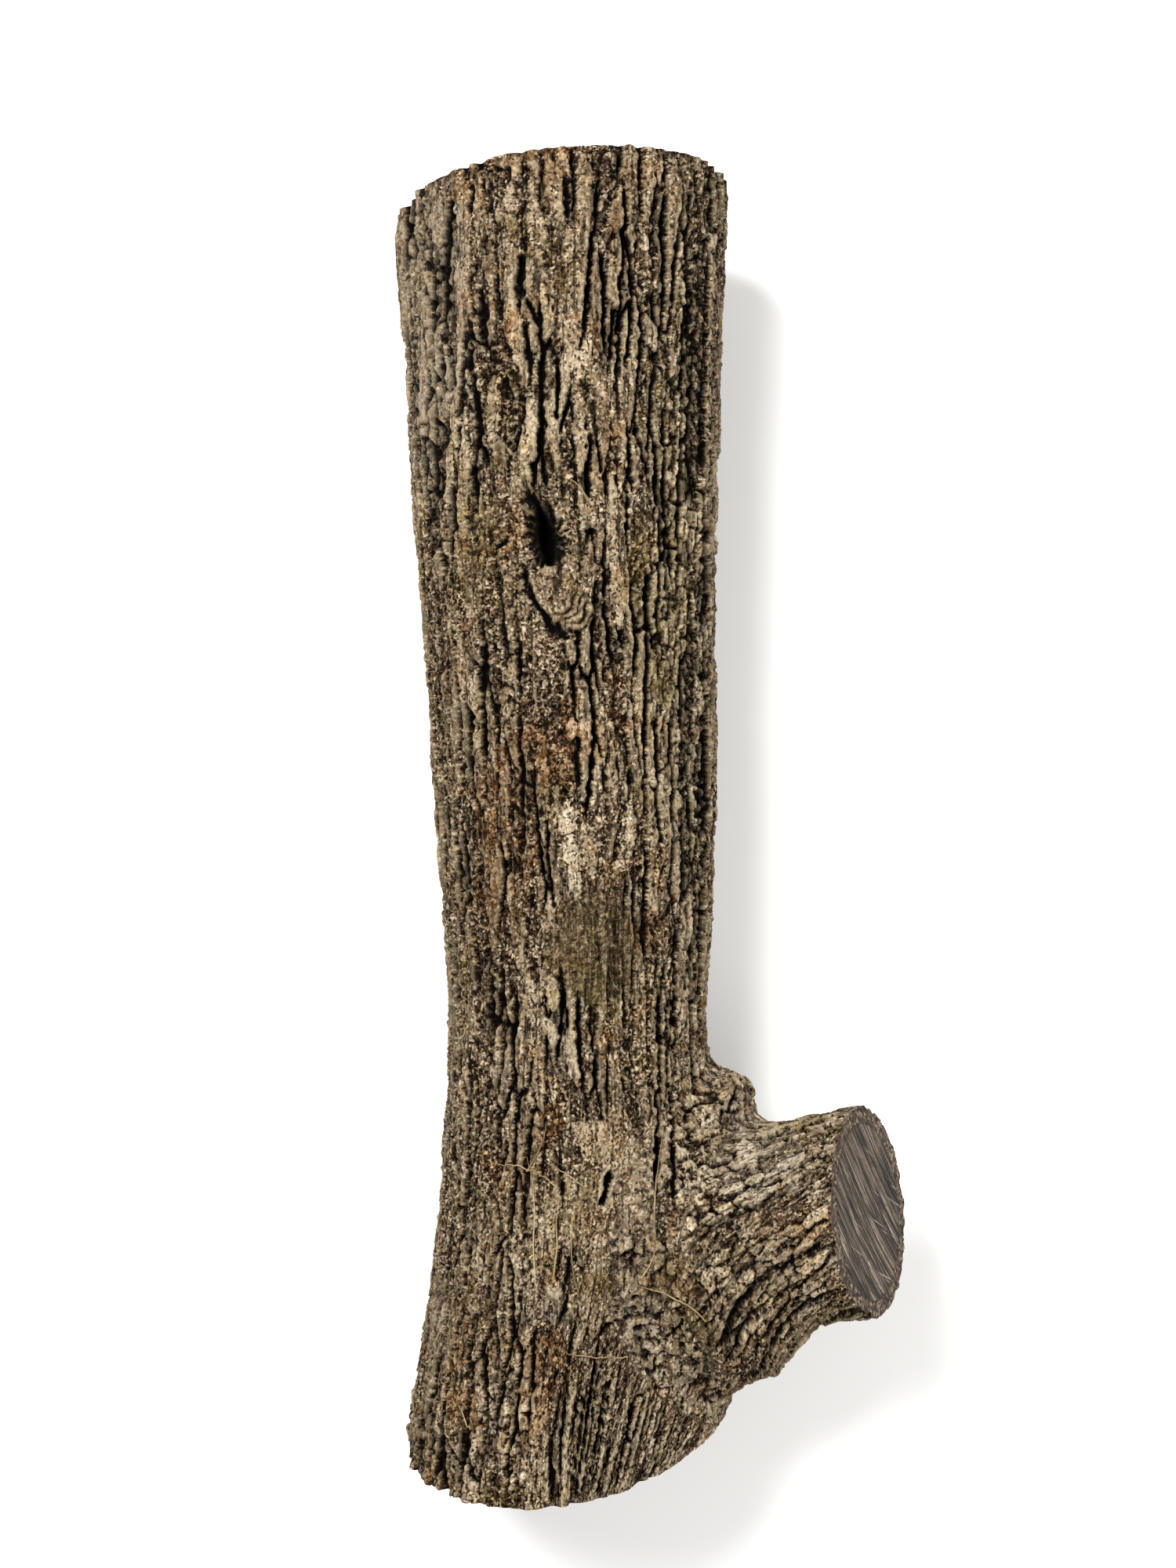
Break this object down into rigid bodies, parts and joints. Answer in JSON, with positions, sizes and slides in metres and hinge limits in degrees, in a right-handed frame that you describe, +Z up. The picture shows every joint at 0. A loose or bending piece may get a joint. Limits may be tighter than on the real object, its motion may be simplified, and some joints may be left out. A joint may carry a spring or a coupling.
{
  "type": "walnut log",
  "caption": "Round walnut log in ridged bark with the sawn stub of a side branch near its butt, lying on its side with its ends sawn across.",
  "frame": {"origin": "middle of the log's box at ground level, where the log lies", "axes": "+Y along the trunk from the butt towards the top, +X the side that the branch leaves on, +Z up from the ground"},
  "size_m": [0.4036, 1.0091, 0.2906],
  "materials": {
    "bark": "dry rough bark with pale tan plates over dark brown furrows, and grey-brown sawn end grain"
  },
  "bodies": {
    "root": {"log": "bark"}
  },
  "joints": []
}
